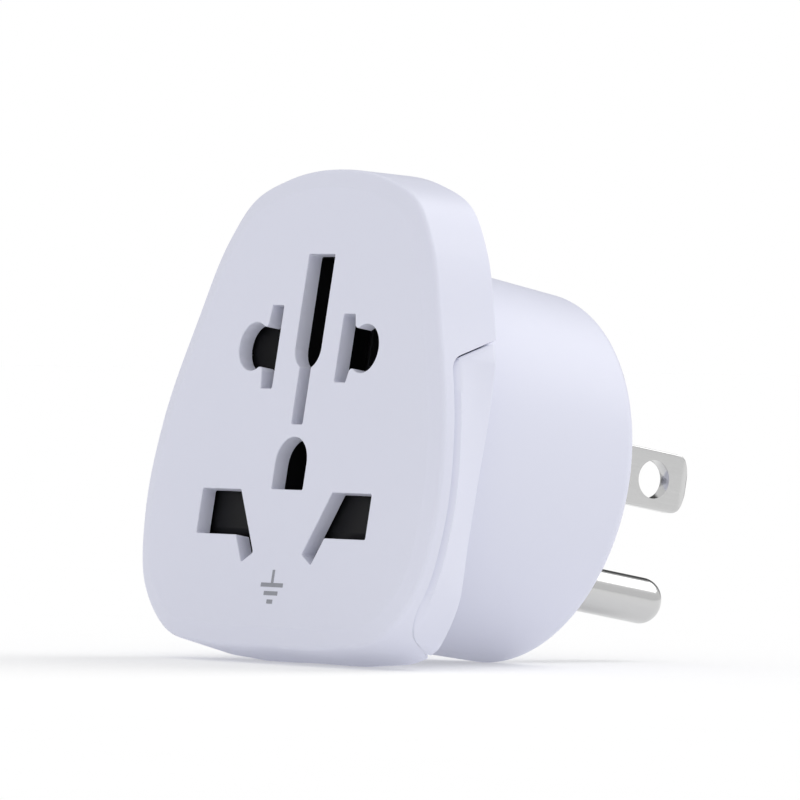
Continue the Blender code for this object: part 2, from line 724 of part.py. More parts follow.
def make_blade(side, name, surface):
    """A flat blade with a coined tip and its hole, and inside the body a foot riveted to the contact."""
    rings = [[(x + side * BLADE_X, depth, z + BLADE_Z) for x, z in section]
             for depth, section in blade_rings()]
    blade = add(name, loft(rings), surface)
    foot = box(sorted((side * (BLADE_X - BLADE_THICK / 2 + 0.1), side * BLADE_FOOT_REACH)), BLADE_FOOT,
               (BLADE_Z - BLADE_HEIGHT / 2 + 0.5, BLADE_Z + BLADE_HEIGHT / 2 - 0.5))
    unite(blade, foot, name + "_foot")
    cut(blade, turned(((RIVET_R + GAP, BLADE_FOOT[0] - 1), (RIVET_R + GAP, BLADE_FOOT[1] + 1)),
                      (side * RIVET_X, BLADE_Z), 12), name + "_rivet_hole")
    depth = REAR_FACE + BLADE_HOLE_FROM_FACE
    x = side * BLADE_X
    cut(blade, prism(circle((depth, BLADE_Z), BLADE_HOLE_R, 24), "X", x - 2, x + 2), name + "_hole")
    return blade


def make_ground_pin(surface):
    """Round pin with a domed end, a collar behind the end wall and a stem through the earth contact."""
    profile = [(EARTH_PIN_STEM_R, EARTH_PIN_STEM_END), (EARTH_PIN_STEM_R, EARTH_PIN_COLLAR[0]),
               (EARTH_PIN_COLLAR_R, EARTH_PIN_COLLAR[0]), (EARTH_PIN_COLLAR_R, EARTH_PIN_COLLAR[1]),
               (EARTH_PIN_R, EARTH_PIN_COLLAR[1])]
    dome = EARTH_PIN_R * 0.9
    for i in range(5):
        turn = math.radians(80) * i / 4
        profile.append((EARTH_PIN_R * math.cos(turn), EARTH_PIN_TIP - dome + dome * math.sin(turn)))
    return add("ground_pin", turned(profile, (0.0, EARTH_PIN_Z), 24), surface)


def make_rivet(side, name, surface):
    front = CONTACT_STRIP[0] - GAP
    rear = BLADE_FOOT[1] + GAP
    profile = ((RIVET_HEAD_R * 0.7, front - RIVET_HEAD), (RIVET_HEAD_R, front - 0.2), (RIVET_HEAD_R, front),
               (RIVET_R, front), (RIVET_R, rear), (RIVET_HEAD_R, rear), (RIVET_HEAD_R, rear + 0.2),
               (RIVET_HEAD_R * 0.7, rear + RIVET_HEAD))
    return add(name, turned(profile, (side * RIVET_X, BLADE_Z), 12), surface)


def make_earth_washer(surface):
    centre = (0.0, EARTH_PIN_Z)
    washer = add("earth_washer", turned(((WASHER_R, WASHER[0]), (WASHER_R, WASHER[1])), centre, 16), surface)
    cut(washer, turned(((EARTH_PIN_STEM_R + GAP, WASHER[0] - 1), (EARTH_PIN_STEM_R + GAP, WASHER[1] + 1)),
                       centre, 16), "earth_washer_hole")
    return washer


def make_blade_retainer(surface):
    """Insulating plate that holds the blades and the pin's collar against the end wall."""
    outline_points = rounded_box((-RETAINER_HALF, RETAINER_HALF), RETAINER_Z, RETAINER_CORNER)
    retainer = add("blade_retainer", prism(outline_points, "Y", *RETAINER), surface)
    holes = turned(((EARTH_PIN_COLLAR_R + GAP, RETAINER[0] - 1), (EARTH_PIN_COLLAR_R + GAP, RETAINER[1] + 1)),
                   (0.0, EARTH_PIN_Z), 24)
    for side in SIDES:
        half = BLADE_THICK / 2 + GAP
        x = side * BLADE_X
        box((x - half, x + half), (RETAINER[0] - 1, RETAINER[1] + 1),
            (BLADE_Z - BLADE_HEIGHT / 2 - GAP, BLADE_Z + BLADE_HEIGHT / 2 + GAP), holes)
        turned(((SCREW_HOLE_R, RETAINER[0] - 1), (SCREW_HOLE_R, RETAINER[1] + 1)),
               (side * RETAINER_SCREW[0], RETAINER_SCREW[1]), 12, holes)
    cut(retainer, holes, "retainer_holes")
    return retainer


def make_retainer_screw(side, name, surface):
    """Holds the retainer to the end wall, with its head on the inner side."""
    seat = RETAINER[0] - GAP
    profile = ((SCREW_HEAD_R - 0.25, seat - SCREW_HEAD), (SCREW_HEAD_R, seat - SCREW_HEAD + 0.25),
               (SCREW_HEAD_R, seat), (SCREW_SHANK_R, seat), (SCREW_SHANK_R, REAR_FACE - 1.4),
               (0.3, REAR_FACE - 0.95))
    return add(name, turned(profile, (side * RETAINER_SCREW[0], RETAINER_SCREW[1]), 12), surface)


def main():
    clear_scene()
    make_root()
    shell = material("shell_plastic", (0.78, 0.77, 0.83), 0.38)
    black = material("black_plastic", (0.012, 0.012, 0.013), 0.35)
    insulator = material("white_insulator", (0.74, 0.73, 0.70), 0.5)
    nickel = material("nickel_plate", (0.80, 0.79, 0.77), 0.22, 1.0)
    brass = material("brass", (0.78, 0.60, 0.30), 0.3, 1.0)
    steel = material("zinc_steel", (0.62, 0.62, 0.63), 0.32, 1.0)
    spring_steel = material("spring_steel", (0.45, 0.45, 0.47), 0.3, 1.0)

    make_front_cover(shell)
    make_rear_housing(shell)
    make_contact_carrier(black)
    make_upper_shutter(LEFT, "neutral_shutter", black)
    make_upper_shutter(RIGHT, "live_shutter", black)
    make_lower_shutter(LEFT, "lower_shutter_left", black)
    make_lower_shutter(RIGHT, "lower_shutter_right", black)

    for side, name in ((LEFT, "neutral"), (RIGHT, "live")):
        start = (side * (UPPER_GROOVE_START + GAP), SPRING_DEPTH, UPPER_LINE)
        length = UPPER_STOP_X[0] - GAP - UPPER_GROOVE_START - GAP
        make_spring(name + "_shutter_spring", start, (side, 0.0, 0.0), length, spring_steel)
        make_line_contact(side, name + "_contact", brass)
        make_blade(side, name + "_blade", nickel)
        make_rivet(side, name + "_rivet", steel)
    for side, name in ((LEFT, "left"), (RIGHT, "right")):
        start = (side * LOWER_SPRING_X, SPRING_DEPTH, LOWER_GROOVE_START + GAP)
        length = LOWER_STOP_Z[0] - GAP - LOWER_GROOVE_START - GAP
        make_spring("lower_shutter_spring_" + name, start, (0.0, 0.0, 1.0), length, spring_steel)
        make_retainer_screw(side, "retainer_screw_" + name, steel)

    make_earth_contact(brass)
    make_ground_pin(nickel)
    make_earth_washer(steel)
    make_blade_retainer(insulator)
    for number, centre in enumerate(screw_places(), 1):
        seat = COUNTERBORE_FLOOR + GAP
        mesh = screw(centre, SCREW_TIP, seat, seat + SCREW_HEAD, SCREW_HEAD_R)
        add("housing_screw_%d" % number, mesh, steel)


main()
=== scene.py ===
"""Looks of the universal travel adapter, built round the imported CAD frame.

Sizes are in millimetres in the socket frame that the CAD uses: X to the right seen from the front, depth
from the socket face towards the blades, and height from the line through the two large rectangular holes.
"""
import math

import bmesh
import bpy
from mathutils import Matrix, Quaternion, Vector
from mathutils.geometry import tessellate_polygon


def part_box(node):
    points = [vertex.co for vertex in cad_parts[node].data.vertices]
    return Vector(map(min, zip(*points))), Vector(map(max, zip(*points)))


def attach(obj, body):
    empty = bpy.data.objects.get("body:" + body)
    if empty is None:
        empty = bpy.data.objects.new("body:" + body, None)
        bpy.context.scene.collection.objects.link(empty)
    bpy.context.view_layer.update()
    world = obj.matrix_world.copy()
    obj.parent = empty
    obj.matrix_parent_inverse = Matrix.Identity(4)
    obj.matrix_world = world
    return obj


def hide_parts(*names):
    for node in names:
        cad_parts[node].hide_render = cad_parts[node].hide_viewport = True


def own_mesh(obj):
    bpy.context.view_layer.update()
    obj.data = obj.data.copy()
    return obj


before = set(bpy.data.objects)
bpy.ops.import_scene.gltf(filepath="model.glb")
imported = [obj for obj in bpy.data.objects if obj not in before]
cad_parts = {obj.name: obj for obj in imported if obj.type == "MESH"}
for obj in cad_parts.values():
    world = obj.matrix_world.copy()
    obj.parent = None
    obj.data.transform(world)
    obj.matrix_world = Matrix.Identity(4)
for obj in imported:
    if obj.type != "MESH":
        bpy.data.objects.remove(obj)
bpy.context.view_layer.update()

MM = 0.001
LEFT = -1
RIGHT = 1
SIDES = (LEFT, RIGHT)

# ---- the socket frame, placed by the CAD
REAR_FACE = -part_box("front_cover")[0].y / MM
AXIS_Z = 8.4
FLANGE_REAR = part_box("front_cover")[1].y / MM + REAR_FACE

# ---- outline of the socket face, right half, bottom to top (x, z)
OUTLINE = ((0.0, -13.6), (10.8, -13.5), (18.4, -12.3), (23.2, -7.8), (25.0, -0.4), (24.3, 8.9),
           (20.8, 19.8), (17.3, 28.1), (14.2, 32.0), (8.4, 34.4), (0.0, 35.4))
OUTLINE_STEPS = 12
FLARE = 0.7                     # how far the side walls spread outwards at the cover's rear edge

# ---- cover
FACE_THICK = 1.7
COVER_WALL = 1.5
FACE_BORDER = 1.9               # width of the sloping border round the flat face
BORDER_DROP = 0.55              # how far back the border meets the side wall
BORDER_ROUND = 0.4
REAR_EDGE = 0.2
HOLE_EDGE = 0.12
SUPPORT = 0.12                  # narrow band that keeps a flat face's shading flat beside a rounded edge
BOSS_R = 1.85
BOSS_REAR = 4.3
BOSS_BORE_FRONT = 2.0

# ---- grip windows and wings
WINDOW_TOP = 19.1
WINDOW_TOP_KNEE = 16.35
WINDOW_BOTTOM_KNEE = -10.8
WINDOW_BOTTOM = -12.5
WINDOW_FRONT = 1.75
WINDOW_GAPS = (0.06, 0.02)      # from the top of the window to its bottom
WING_INSET = 0.3
WING_LIP = 0.35                 # the wing's front edge lies this much deeper than its ridge
WING_LIP_FADE = 6.0             # height over which lip and inset run out at the lower end
WING_END_DEPTH = 6.4
WINDOW_ROUNDS = (1.3, 3.2)      # reach of the rounds at its upper and lower corner
GRIP_RIDGE = 2.8
GRIP_HOLLOW = 3.3
GRIP_TOP = 16.8
GRIP_BOTTOM = -11.6
GRIP_SKEW = 1.15                # moves the deepest place down
GRIP_FULLNESS = 0.85
GRIP_EDGE = 0.3
WING_WALL = 1.15
WING_ROWS = 60

# ---- rear housing
PLATE_INSET = 1.9
PLATE_FRONT = 5.9
BODY_R = 20.0
BODY_REAR_R = 19.26
BODY_FILLET = 1.4
BORE_R = 18.3
BORE_REAR_R = 17.6
END_WALL = 26.8
SCREW_PLACES = ((11.0, 29.0), (16.8, -7.3))
PAD_R = 2.7
PAD_FRONT = 4.6
COUNTERBORE_R = 2.1
COUNTERBORE_FLOOR = 5.8
SCREW_HOLE_R = 1.2
SCREW_HEAD_R = 1.8
SCREW_HEAD = 1.35
SCREW_HEAD_ROUND = 0.5          # height of the rounded top of the head
SCREW_SHANK_R = 0.9
SCREW_POINT_R = 0.3
SCREW_TIP = 2.3
RECESS_HALF = 0.17              # half width of an arm of the cross recess
RECESS_REACH = 0.95
RECESS_DEPTH = 0.6

# ---- sockets
UPPER_LINE = 17.0
BLADE_SLOT_X = 6.35
BLADE_SLOT_HALF = 1.1
NEUTRAL_SLOT_HEIGHT = 8.6
LIVE_SLOT_HEIGHT = 7.0
ROUND_HOLE_X = 9.5
ROUND_HOLE_R = 2.5
NECK_FILLET = 0.5
EARTH_SLOT_HALF = 2.25
EARTH_SLOT_TOP = 26.6
EARTH_NARROW_HALF = 0.98
EARTH_NARROW_BOTTOM = 9.1
D_HOLE_HALF = 2.7
D_HOLE_ARCH = 5.1
D_HOLE_BOTTOM = 2.4
LARGE_HOLE_X = (7.66, 14.6)
LARGE_HOLE_Z = (-2.4, 2.25)
SLANT_CENTRE = (6.86, -1.65)
SLANT_LENGTH = 7.0
SLANT_WIDTH = 2.1
SLANT_ANGLE = math.radians(30)
CORNER = 0.25                   # radius in the openings' corners
CORNER_STEPS = 4

# ---- plug
BLADE_X = 6.35
BLADE_Z = 10.58
BLADE_THICK = 1.5
BLADE_HEIGHT = 6.1
BLADE_HOLE_R = 1.98
BLADE_HOLE_FROM_FACE = 11.7
BLADE_TIP = 45.3
BLADE_TIP_ROUND = (1.8, 2.55)   # of a tip corner: along the blade, and down from its edge
BLADE_TIP_BEVEL = 0.45
BLADE_FOOT = (21.6, 22.4)
BLADE_FOOT_REACH = 10.8
RIVET_X = 9.2
RIVET_HOLE_R = 1.2
PIN_Z = -1.31
PIN_R = 2.4
PIN_TIP = 48.8
PIN_DOME = 0.9                  # length of the dome as a part of the radius
PIN_STEM_R = 1.5
PIN_STEM_FRONT = 21.9
PIN_COLLAR_R = 3.4
PIN_COLLAR = (24.9, 26.5)
PIN_FIT = 0.12                  # play of the pins in the end wall

# ---- springs behind the shutters
SPRING_R = 0.4
SPRING_WIRE = 0.11
SPRING_DEPTH = 3.75
SPRING_TURNS = 5
LOWER_SPRING_X = 13.5
UPPER_SPRING_ENDS = (9.9, 18.1)
LOWER_SPRING_ENDS = (-0.9, 11.0)

# ---- printed mark
MARK_Z = -7.75
MARK_HALF = 1.9
MARK_LINE = 0.42
MARK_STEM_FOOT = 0.55
MARK_BARS = ((0.35, 1.0), (-0.5, 0.62), (-1.35, 0.26))     # height, and part of the full half width
MARK_RAISE = 0.015
MARK_ROOT = 0.4                 # how deep the print's solid reaches into the face

# ---- camera and floor
CAMERA_AIM = (6.7, -21.5, 4.6)
CAMERA_AZIMUTH = 53.93
CAMERA_ELEVATION = -5.26
CAMERA_ROLL = 8.6
CAMERA_DISTANCE = 1005.7
CAMERA_LENS = 447.75

# ---- light: name, bearing, height, strength, width in degrees
SUNS = (("key", 165.0, 58.0, 0.95, 50.0),
        ("fill", 35.0, 40.0, 0.16, 60.0))
FLOOR_GLOW = 0.27
FLOOR_REACH = 6.0               # metres
WORLD_LOW = 0.72
WORLD_HIGH = 0.80
WORLD_RISE = (-0.6, 0.8)        # heights of a direction between which it goes from low to high
FLAG = (230.0, 25.0)            # bearing and height of the dark flag that edges the shapes
FLAG_REACH = (16.0, 29.0)       # half-angle where it is fully dark, and where it ends
FLAG_DIM = 0.08


# ---------------------------------------------------------------- points and curves

def place(x, depth, z):
    """From the socket frame in millimetres to the row frame in metres."""
    return Vector((x, depth - REAR_FACE, z - AXIS_Z)) * MM


def arc(centre, radius, start, end, steps):
    """Points along an arc; angles are in degrees."""
    points = []
    for i in range(steps + 1):
        angle = math.radians(start + (end - start) * i / steps)
        points.append((centre[0] + radius * math.cos(angle), centre[1] + radius * math.sin(angle)))
    return points


def circle(centre, radius, sides):
    return arc(centre, radius, 0, 360 - 360 / sides, sides - 1)


def rounded(points, radius, steps=CORNER_STEPS):
    """The polygon with each corner turned into a small round of the given radius."""
    made = []
    count = len(points)
    for i, corner in enumerate(points):
        here = Vector(corner)
        back = Vector(points[i - 1]) - here
        ahead = Vector(points[(i + 1) % count]) - here
        half = back.angle(ahead) / 2
        if half > math.radians(84):
            made.append(corner)
            continue
        reach = min(radius / math.tan(half), 0.45 * back.length, 0.45 * ahead.length)
        made += rounded_corner(points[i - 1], corner, points[(i + 1) % count], reach, steps)
    return made


def rounded_corners_of(path):
    """The rounds of an open path's inner corners, without its two ends."""
    end = CORNER_STEPS + 1
    return rounded(path, CORNER)[end:-end]


def rounded_corner(before, corner, after, reach, steps=6):
    """Points of the round that replaces a corner of a path, reaching as far along one arm as the other."""
    here = Vector(corner)
    start = here + (Vector(before) - here).normalized() * reach
    end = here + (Vector(after) - here).normalized() * reach
    points = []
    for step in range(steps + 1):
        t = step / steps
        points.append(tuple((1 - t)**2 * start + 2 * t * (1 - t) * here + t**2 * end))
    return points


def offset(points, distance):
    """The closed polygon moved outwards by a distance (anticlockwise points)."""
    made = []
    count = len(points)
    for i in range(count):
        before = (Vector(points[i]) - Vector(points[i - 1])).normalized()
        after = (Vector(points[(i + 1) % count]) - Vector(points[i])).normalized()
        normal = Vector((before.y + after.y, -before.x - after.x)).normalized()
        stretch = distance / max(0.5, normal.dot(Vector((after.y, -after.x))))
        made.append((points[i][0] + normal.x * stretch, points[i][1] + normal.y * stretch))
    return made


def anticlockwise(points):
    """The closed polygon in anticlockwise order."""
    area = sum(a[0] * b[1] - b[0] * a[1] for a, b in zip(points, [*points[1:], points[0]]))
    return points if area > 0 else points[::-1]


def outline_knots():
    """The outline's driving points all the way round."""
    left_half = [(-x, z) for x, z in reversed(OUTLINE[1:-1])]
    return [Vector(point) for point in (*OUTLINE, *left_half)]


def slope_at(knots, i):
    """Direction of the curve at a knot, from the parabola through it and its two neighbours."""
    before = knots[i] - knots[i - 1]
    after = knots[(i + 1) % len(knots)] - knots[i]
    near, far = before.length, after.length
    return (before / near * far + after / far * near) / (near + far)


def curve_points(steps=OUTLINE_STEPS):
    """Points and directions round the face's outline, a few steps from knot to knot."""
    knots = outline_knots()
    points = []
    for i, start in enumerate(knots):
        j = (i + 1) % len(knots)
        end = knots[j]
        span = (end - start).length
        leave = slope_at(knots, i) * span
        arrive = slope_at(knots, j) * span
        for step in range(steps):
            t = step / steps
            spot = ((2 * t**3 - 3 * t**2 + 1) * start + (t**3 - 2 * t**2 + t) * leave
                    + (3 * t**2 - 2 * t**3) * end + (t**3 - t**2) * arrive)
            course = ((6 * t**2 - 6 * t) * start + (3 * t**2 - 4 * t + 1) * leave
                      + (6 * t - 6 * t**2) * end + (3 * t**2 - 2 * t) * arrive)
            points.append((spot, course.normalized()))
    return points


CURVE = curve_points()


def spread(depth):
    """How far the side walls stand outside the face's outline at a depth."""
    return FLARE * depth / FLANGE_REAR


def outline(inset, depth):
    """The adapter's outline at a depth, moved inwards by a distance, or by a function of the height."""
    points = []
    for spot, course in CURVE:
        distance = (inset(spot.y) if callable(inset) else inset) - spread(depth)
        points.append((spot.x - course.y * distance, spot.y + course.x * distance))
    return points


def side_point(side, z, inset, depth):
    """The outline's point at a height and depth on one side, moved inwards."""
    rising = zip(CURVE, CURVE[1:])
    (low, low_course), (high, high_course) = next(
        pair for pair in rising if pair[0][0].x > 0 and pair[0][0].y <= z <= pair[1][0].y)
    t = (z - low.y) / (high.y - low.y)
    spot = low.lerp(high, t)
    course = low_course.lerp(high_course, t)
    distance = inset - spread(depth)
    return side * (spot.x - course.y * distance), spot.y + course.x * distance


# ---------------------------------------------------------------- meshes

def loft(rings, mesh=None, caps=True):
    """A body through rings of points, each ring with as many points as the next."""
    mesh = mesh or bmesh.new()
    rows = [[mesh.verts.new(point) for point in ring] for ring in rings]
    for low, high in zip(rows, rows[1:]):
        for i in range(len(low)):
            j = (i + 1) % len(low)
            mesh.faces.new((low[i], low[j], high[j], high[i]))
    if caps:
        mesh.faces.new(rows[0])
        mesh.faces.new(rows[-1])
    return mesh


def prism(points, low, high, mesh=None):
    """An outline of (x, z) stretched along the depth."""
    return loft([[(x, depth, z) for x, z in points] for depth in (low, high)], mesh)


def box(x, y, z, mesh=None):
    """A box between pairs of x, depth and height."""
    return prism(((x[0], z[0]), (x[1], z[0]), (x[1], z[1]), (x[0], z[1])), y[0], y[1], mesh)


def turned(profile, centre, sides, mesh=None):
    """A body turned round an axis along the depth, from (radius, depth) points."""
    rings = [[(x, depth, z) for x, z in circle(centre, radius, sides)] for radius, depth in profile]
    return loft(rings, mesh)


def quarter(corner, radius, start, steps):
    """Profile points of a quarter round, as (radius, depth); start is its first angle in degrees."""
    return arc(corner, radius, start, start + 90, steps)


def finish_mesh(name, mesh):
    """An object in the row frame from a bmesh in the socket frame."""
    bmesh.ops.recalc_face_normals(mesh, faces=mesh.faces)
    for vertex in mesh.verts:
        vertex.co = place(*vertex.co)
    data = bpy.data.meshes.new(name)
    mesh.to_mesh(data)
    mesh.free()
    made = bpy.data.objects.new(name, data)
    bpy.context.scene.collection.objects.link(made)
    return made


def combine(target, mesh, operation):
    """Unites the target with a body, or cuts it with one, and keeps the result."""
    tool = finish_mesh("tool", mesh)
    modifier = target.modifiers.new("combine", "BOOLEAN")
    modifier.operation = operation
    modifier.solver = "EXACT"
    modifier.object = tool
    settle(target)
    bpy.data.objects.remove(tool, do_unlink=True)


def settle(target):
    """Replaces the mesh by its modified self."""
    graph = bpy.context.evaluated_depsgraph_get()
    data = bpy.data.meshes.new_from_object(target.evaluated_get(graph))
    target.modifiers.clear()
    target.data = data
    data.name = target.name


def soften(target, width, segments=2, angle=40, sharp=32):
    """Rounds the edges that are sharper than an angle, then shades the mesh smooth up to another."""
    modifier = target.modifiers.new("soft edges", "BEVEL")
    modifier.width = width * MM
    modifier.segments = segments
    modifier.limit_method = "ANGLE"
    modifier.angle_limit = math.radians(angle)
    modifier.use_clamp_overlap = True
    settle(target)
    target.data.shade_smooth()
    target.data.set_sharp_from_angle(angle=math.radians(sharp))
    normals = target.modifiers.new("even normals", "WEIGHTED_NORMAL")
    normals.keep_sharp = True
    normals.weight = 100
    settle(target)


# ---------------------------------------------------------------- materials

def shader_of(name):
    """A new material and its shader."""
    made = bpy.data.materials.new(name)
    made.use_nodes = True
    return made, made.node_tree.nodes["Principled BSDF"]


def add_node(made, kind, **values):
    node = made.node_tree.nodes.new(kind)
    for key, value in values.items():
        node.inputs[key].default_value = value
    return node


def object_noise(made, scale, detail, stretch=(1.0, 1.0, 1.0)):
    """Noise in the object's own metres; scale is in features per metre."""
    links = made.node_tree.links
    coordinates = made.node_tree.nodes.new("ShaderNodeTexCoord")
    mapping = made.node_tree.nodes.new("ShaderNodeMapping")
    mapping.inputs["Scale"].default_value = stretch
    noise = add_node(made, "ShaderNodeTexNoise", Scale=scale, Detail=detail)
    links.new(coordinates.outputs["Object"], mapping.inputs["Vector"])
    links.new(mapping.outputs["Vector"], noise.inputs["Vector"])
    return noise.outputs["Fac"]


def remap(made, value, low, high):
    """A value between 0 and 1 stretched to a range."""
    node = add_node(made, "ShaderNodeMapRange")
    node.inputs["To Min"].default_value = low
    node.inputs["To Max"].default_value = high
    made.node_tree.links.new(value, node.inputs["Value"])
    return node.outputs["Result"]


def tint(made, value, first, second):
    """A colour between two, by a value."""
    node = made.node_tree.nodes.new("ShaderNodeMix")
    node.data_type = "RGBA"
    node.inputs[6].default_value = (*first, 1.0)
    node.inputs[7].default_value = (*second, 1.0)
    made.node_tree.links.new(value, node.inputs[0])
    return node.outputs[2]


def bump(made, shader, value, distance, strength=1.0):
    node = add_node(made, "ShaderNodeBump", Strength=strength, Distance=distance)
    made.node_tree.links.new(value, node.inputs["Height"])
    made.node_tree.links.new(node.outputs["Normal"], shader.inputs["Normal"])


def moulded_plastic(name, first, second, roughness, grain, subsurface=0.0):
    """Moulded plastic: a faint drift of colour, a fine grain and an uneven polish."""
    made, shader = shader_of(name)
    links = made.node_tree.links
    drift = object_noise(made, 90.0, 3.0)
    links.new(tint(made, drift, first, second), shader.inputs["Base Color"])
    polish = object_noise(made, 700.0, 2.0)
    links.new(remap(made, polish, roughness - 0.03, roughness + 0.03), shader.inputs["Roughness"])
    bump(made, shader, object_noise(made, 4200.0, 3.0), grain * MM)
    if subsurface:
        shader.inputs["Subsurface Weight"].default_value = subsurface
        shader.inputs["Subsurface Radius"].default_value = (1.0, 0.95, 1.0)
        shader.inputs["Subsurface Scale"].default_value = 0.8 * MM
    return made


def drawn_metal(name, first, second, roughness, lines, stretch):
    """Metal with fine lines along the way it was drawn or rolled."""
    made, shader = shader_of(name)
    links = made.node_tree.links
    shader.inputs["Metallic"].default_value = 1.0
    grain = object_noise(made, 900.0, 4.0, stretch)
    links.new(tint(made, grain, first, second), shader.inputs["Base Color"])
    links.new(remap(made, grain, roughness - 0.05, roughness + 0.07), shader.inputs["Roughness"])
    bump(made, shader, grain, lines * MM)
    return made


def printed_ink(name, colour):
    """Thin matt print with an uneven cover."""
    made, shader = shader_of(name)
    grain = object_noise(made, 2500.0, 3.0)
    made.node_tree.links.new(tint(made, grain, colour, tuple(c * 0.9 for c in colour)),
                             shader.inputs["Base Color"])
    made.node_tree.links.new(remap(made, grain, 0.45, 0.6), shader.inputs["Roughness"])
    return made


# ---------------------------------------------------------------- openings in the face

def earth_slot():
    """A wide slot that tapers round its lower end into a narrow one."""
    wide, narrow = EARTH_SLOT_HALF, EARTH_NARROW_HALF
    drop = math.degrees(math.acos(narrow / wide))
    centre = (0.0, UPPER_LINE)
    top = rounded_corners_of([(wide, UPPER_LINE + 0.1), (wide, EARTH_SLOT_TOP),
                              (-wide, EARTH_SLOT_TOP), (-wide, UPPER_LINE + 0.1)])
    bottom = rounded_corners_of([(-narrow, UPPER_LINE - 3), (-narrow, EARTH_NARROW_BOTTOM),
                                 (narrow, EARTH_NARROW_BOTTOM), (narrow, UPPER_LINE - 3)])
    return [*top, *arc(centre, wide, 180, 180 + drop, 10), *bottom, *arc(centre, wide, 360 - drop, 360, 10)]


def d_hole():
    """The round earth hole, with a flat bottom."""
    lower = rounded_corners_of([(-D_HOLE_HALF, D_HOLE_ARCH), (-D_HOLE_HALF, D_HOLE_BOTTOM),
                                (D_HOLE_HALF, D_HOLE_BOTTOM), (D_HOLE_HALF, D_HOLE_ARCH)])
    return [*lower, *arc((0.0, D_HOLE_ARCH), D_HOLE_HALF, 0, 180, 24)]


def keyhole(side):
    """A flat-blade slot joined to its round hole through a small rounded neck."""
    height = NEUTRAL_SLOT_HEIGHT if side == LEFT else LIVE_SLOT_HEIGHT
    inner = BLADE_SLOT_X - BLADE_SLOT_HALF
    outer = BLADE_SLOT_X + BLADE_SLOT_HALF
    across = ROUND_HOLE_X - outer - NECK_FILLET
    rise = math.sqrt((ROUND_HOLE_R + NECK_FILLET)**2 - across**2)
    turn = math.degrees(math.atan2(rise, across))
    upper_neck = arc((outer + NECK_FILLET, rise), NECK_FILLET, 180, 360 - turn, 6)
    hole = arc((ROUND_HOLE_X, 0.0), ROUND_HOLE_R, 180 - turn, turn - 180, 36)
    lower_neck = [(x, -z) for x, z in reversed(upper_neck)]
    half = height / 2
    slot = rounded_corners_of([(outer, -half + 1), (outer, -half), (inner, -half), (inner, half),
                               (outer, half), (outer, half - 1)])
    points = [*upper_neck, *hole[1:-1], *lower_neck, *slot]
    return [(side * x, UPPER_LINE + z) for x, z in points]


def large_hole(side):
    """A large flat hole joined to the slot that leans 30 degrees."""
    lean = Vector((math.sin(SLANT_ANGLE), math.cos(SLANT_ANGLE)))
    across = Vector((lean.y, -lean.x))
    centre = Vector(SLANT_CENTRE)
    foot = centre - lean * SLANT_LENGTH / 2
    inner = foot - across * SLANT_WIDTH / 2
    outer = foot + across * SLANT_WIDTH / 2
    top, bottom = LARGE_HOLE_Z[1], LARGE_HOLE_Z[0]
    inner_top = inner + lean * (top - inner.y) / lean.y
    outer_top = outer + lean * (bottom - outer.y) / lean.y
    end = LARGE_HOLE_X[1]
    points = [tuple(inner), tuple(outer), tuple(outer_top), (end, bottom), (end, top), tuple(inner_top)]
    return [(side * x, z) for x, z in rounded(points, CORNER)]


def openings():
    """Outlines of every opening in the face."""
    found = [earth_slot(), d_hole()]
    for side in SIDES:
        found.append(keyhole(side))
        found.append(large_hole(side))
    return [anticlockwise(points) for points in found]


# ---------------------------------------------------------------- front cover

def fill_between(mesh, border, holes):
    """Covers the flat area between a border loop and the loops inside it, with the loops' own vertices."""
    loops = [border, *holes]
    flat = [[Vector((vertex.co.x, vertex.co.z, 0.0)) for vertex in loop] for loop in loops]
    vertices = [vertex for loop in loops for vertex in loop]
    for triangle in tessellate_polygon(flat):
        mesh.faces.new([vertices[i] for i in triangle])


def add_loop(mesh, points, depth):
    """A loop of new vertices at a depth."""
    return [mesh.verts.new((x, depth, z)) for x, z in points]


def bridge(mesh, first, second):
    """Faces between two loops with as many vertices."""
    for i in range(len(first)):
        j = (i + 1) % len(first)
        mesh.faces.new((first[i], first[j], second[j], second[i]))


